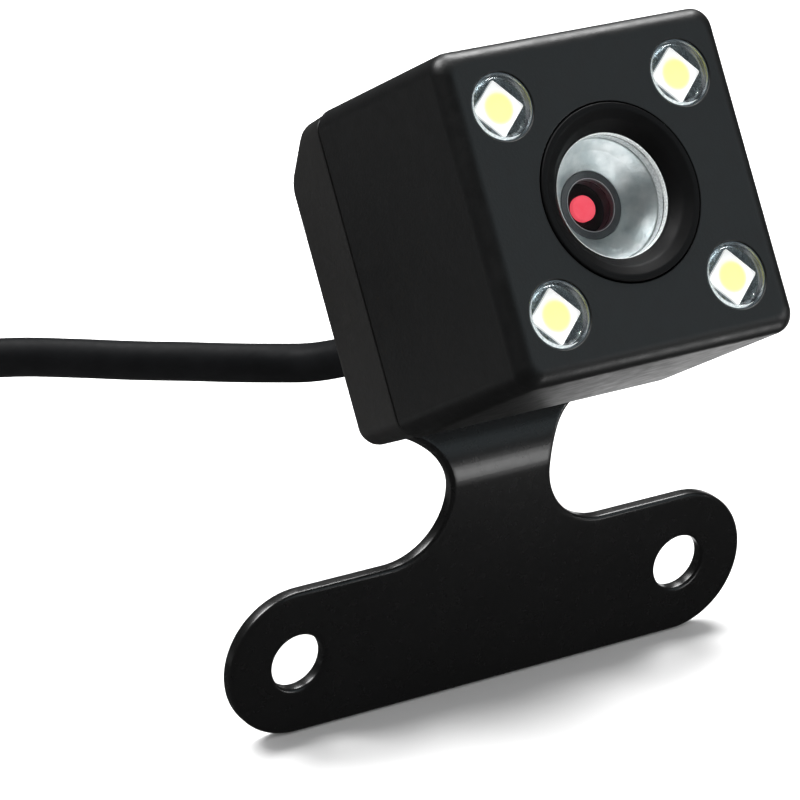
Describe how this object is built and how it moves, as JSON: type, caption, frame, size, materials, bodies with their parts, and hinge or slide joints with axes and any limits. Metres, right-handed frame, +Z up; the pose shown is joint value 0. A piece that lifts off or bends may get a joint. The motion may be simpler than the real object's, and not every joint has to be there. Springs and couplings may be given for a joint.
{
  "type": "vehicle backup camera",
  "caption": "Cube-shaped vehicle backup camera with lens, white lamps and coiled lead, on a bent steel bracket with two screw holes.",
  "frame": {"origin": "middle of the bracket's straight bottom edge, on the surface that the bracket stands on, in the middle of the sheet's thickness", "axes": "+X along the line of the two bracket holes (right, seen from the lens side), +Y from the lens side to the back, +Z up along the bracket's bar plane"},
  "size_m": [0.0853, 0.1038, 0.055],
  "materials": {
    "casing": "satin black",
    "cover": "matte black",
    "enamel": "gloss black paint",
    "steel": "zinc plated",
    "dark_metal": "black anodised",
    "black_plastic": "semi-gloss black",
    "glass": "polished clear",
    "coated_glass": "red reflective coating",
    "silver": "satin",
    "board": "green solder mask",
    "chip": "moulded epoxy",
    "white_plastic": "white",
    "phosphor": "yellow phosphor",
    "rubber": "matte black",
    "cable_jacket": "satin black jacket",
    "contact": "plated contacts",
    "red_wire": "red insulation",
    "yellow_wire": "yellow insulation"
  },
  "bodies": {
    "bracket": {"bracket_plate": "enamel", "cable_run": "cable_jacket", "cable_coil": "cable_jacket", "cable_end": "cable_jacket", "cable_tie": "rubber", "plug_body": "black_plastic", "plug_sleeve": "contact", "plug_ring_1": "contact", "plug_ring_2": "contact", "plug_tip": "contact"},
    "camera": {"front_housing": "casing", "rear_cover": "cover", "cover_gasket": "rubber", "lens_bezel_ring": "black_plastic", "lens_seal": "rubber", "front_lens_element": "glass", "lens_cup": "silver", "lens_barrel": "dark_metal", "inner_retaining_ring": "black_plastic", "aperture_ring": "steel", "inner_lens_element": "glass", "infrared_filter": "coated_glass", "middle_lens_element": "glass", "lens_spacer": "black_plastic", "rear_lens_element": "glass", "lens_holder": "black_plastic", "image_sensor": "chip", "main_board": "board", "video_chip": "chip", "regulator_chip": "chip", "crystal": "steel", "capacitor": "silver", "board_socket": "white_plastic", "board_plug": "white_plastic", "wire_red": "red_wire", "wire_black": "cable_jacket", "wire_yellow": "yellow_wire", "lamp_board": "board", "bracket_tab": "enamel", "cable_gland": "rubber", "lamp_lens_1": "glass", "lamp_chip_1": "white_plastic", "lamp_phosphor_1": "phosphor", "case_screw_1": "steel", "lamp_lens_2": "glass", "lamp_chip_2": "white_plastic", "lamp_phosphor_2": "phosphor", "case_screw_2": "steel", "lamp_lens_3": "glass", "lamp_chip_3": "white_plastic", "lamp_phosphor_3": "phosphor", "case_screw_3": "steel", "lamp_lens_4": "glass", "lamp_chip_4": "white_plastic", "lamp_phosphor_4": "phosphor", "case_screw_4": "steel"}
  },
  "joints": [
    {"name": "tilt", "type": "hinge", "parent": "bracket", "child": "camera", "pos_m": [0, 0, 0.0192], "axis": [1, 0, 0], "range_deg": [-28, 34], "deforming": ["cable_run"]}
  ]
}
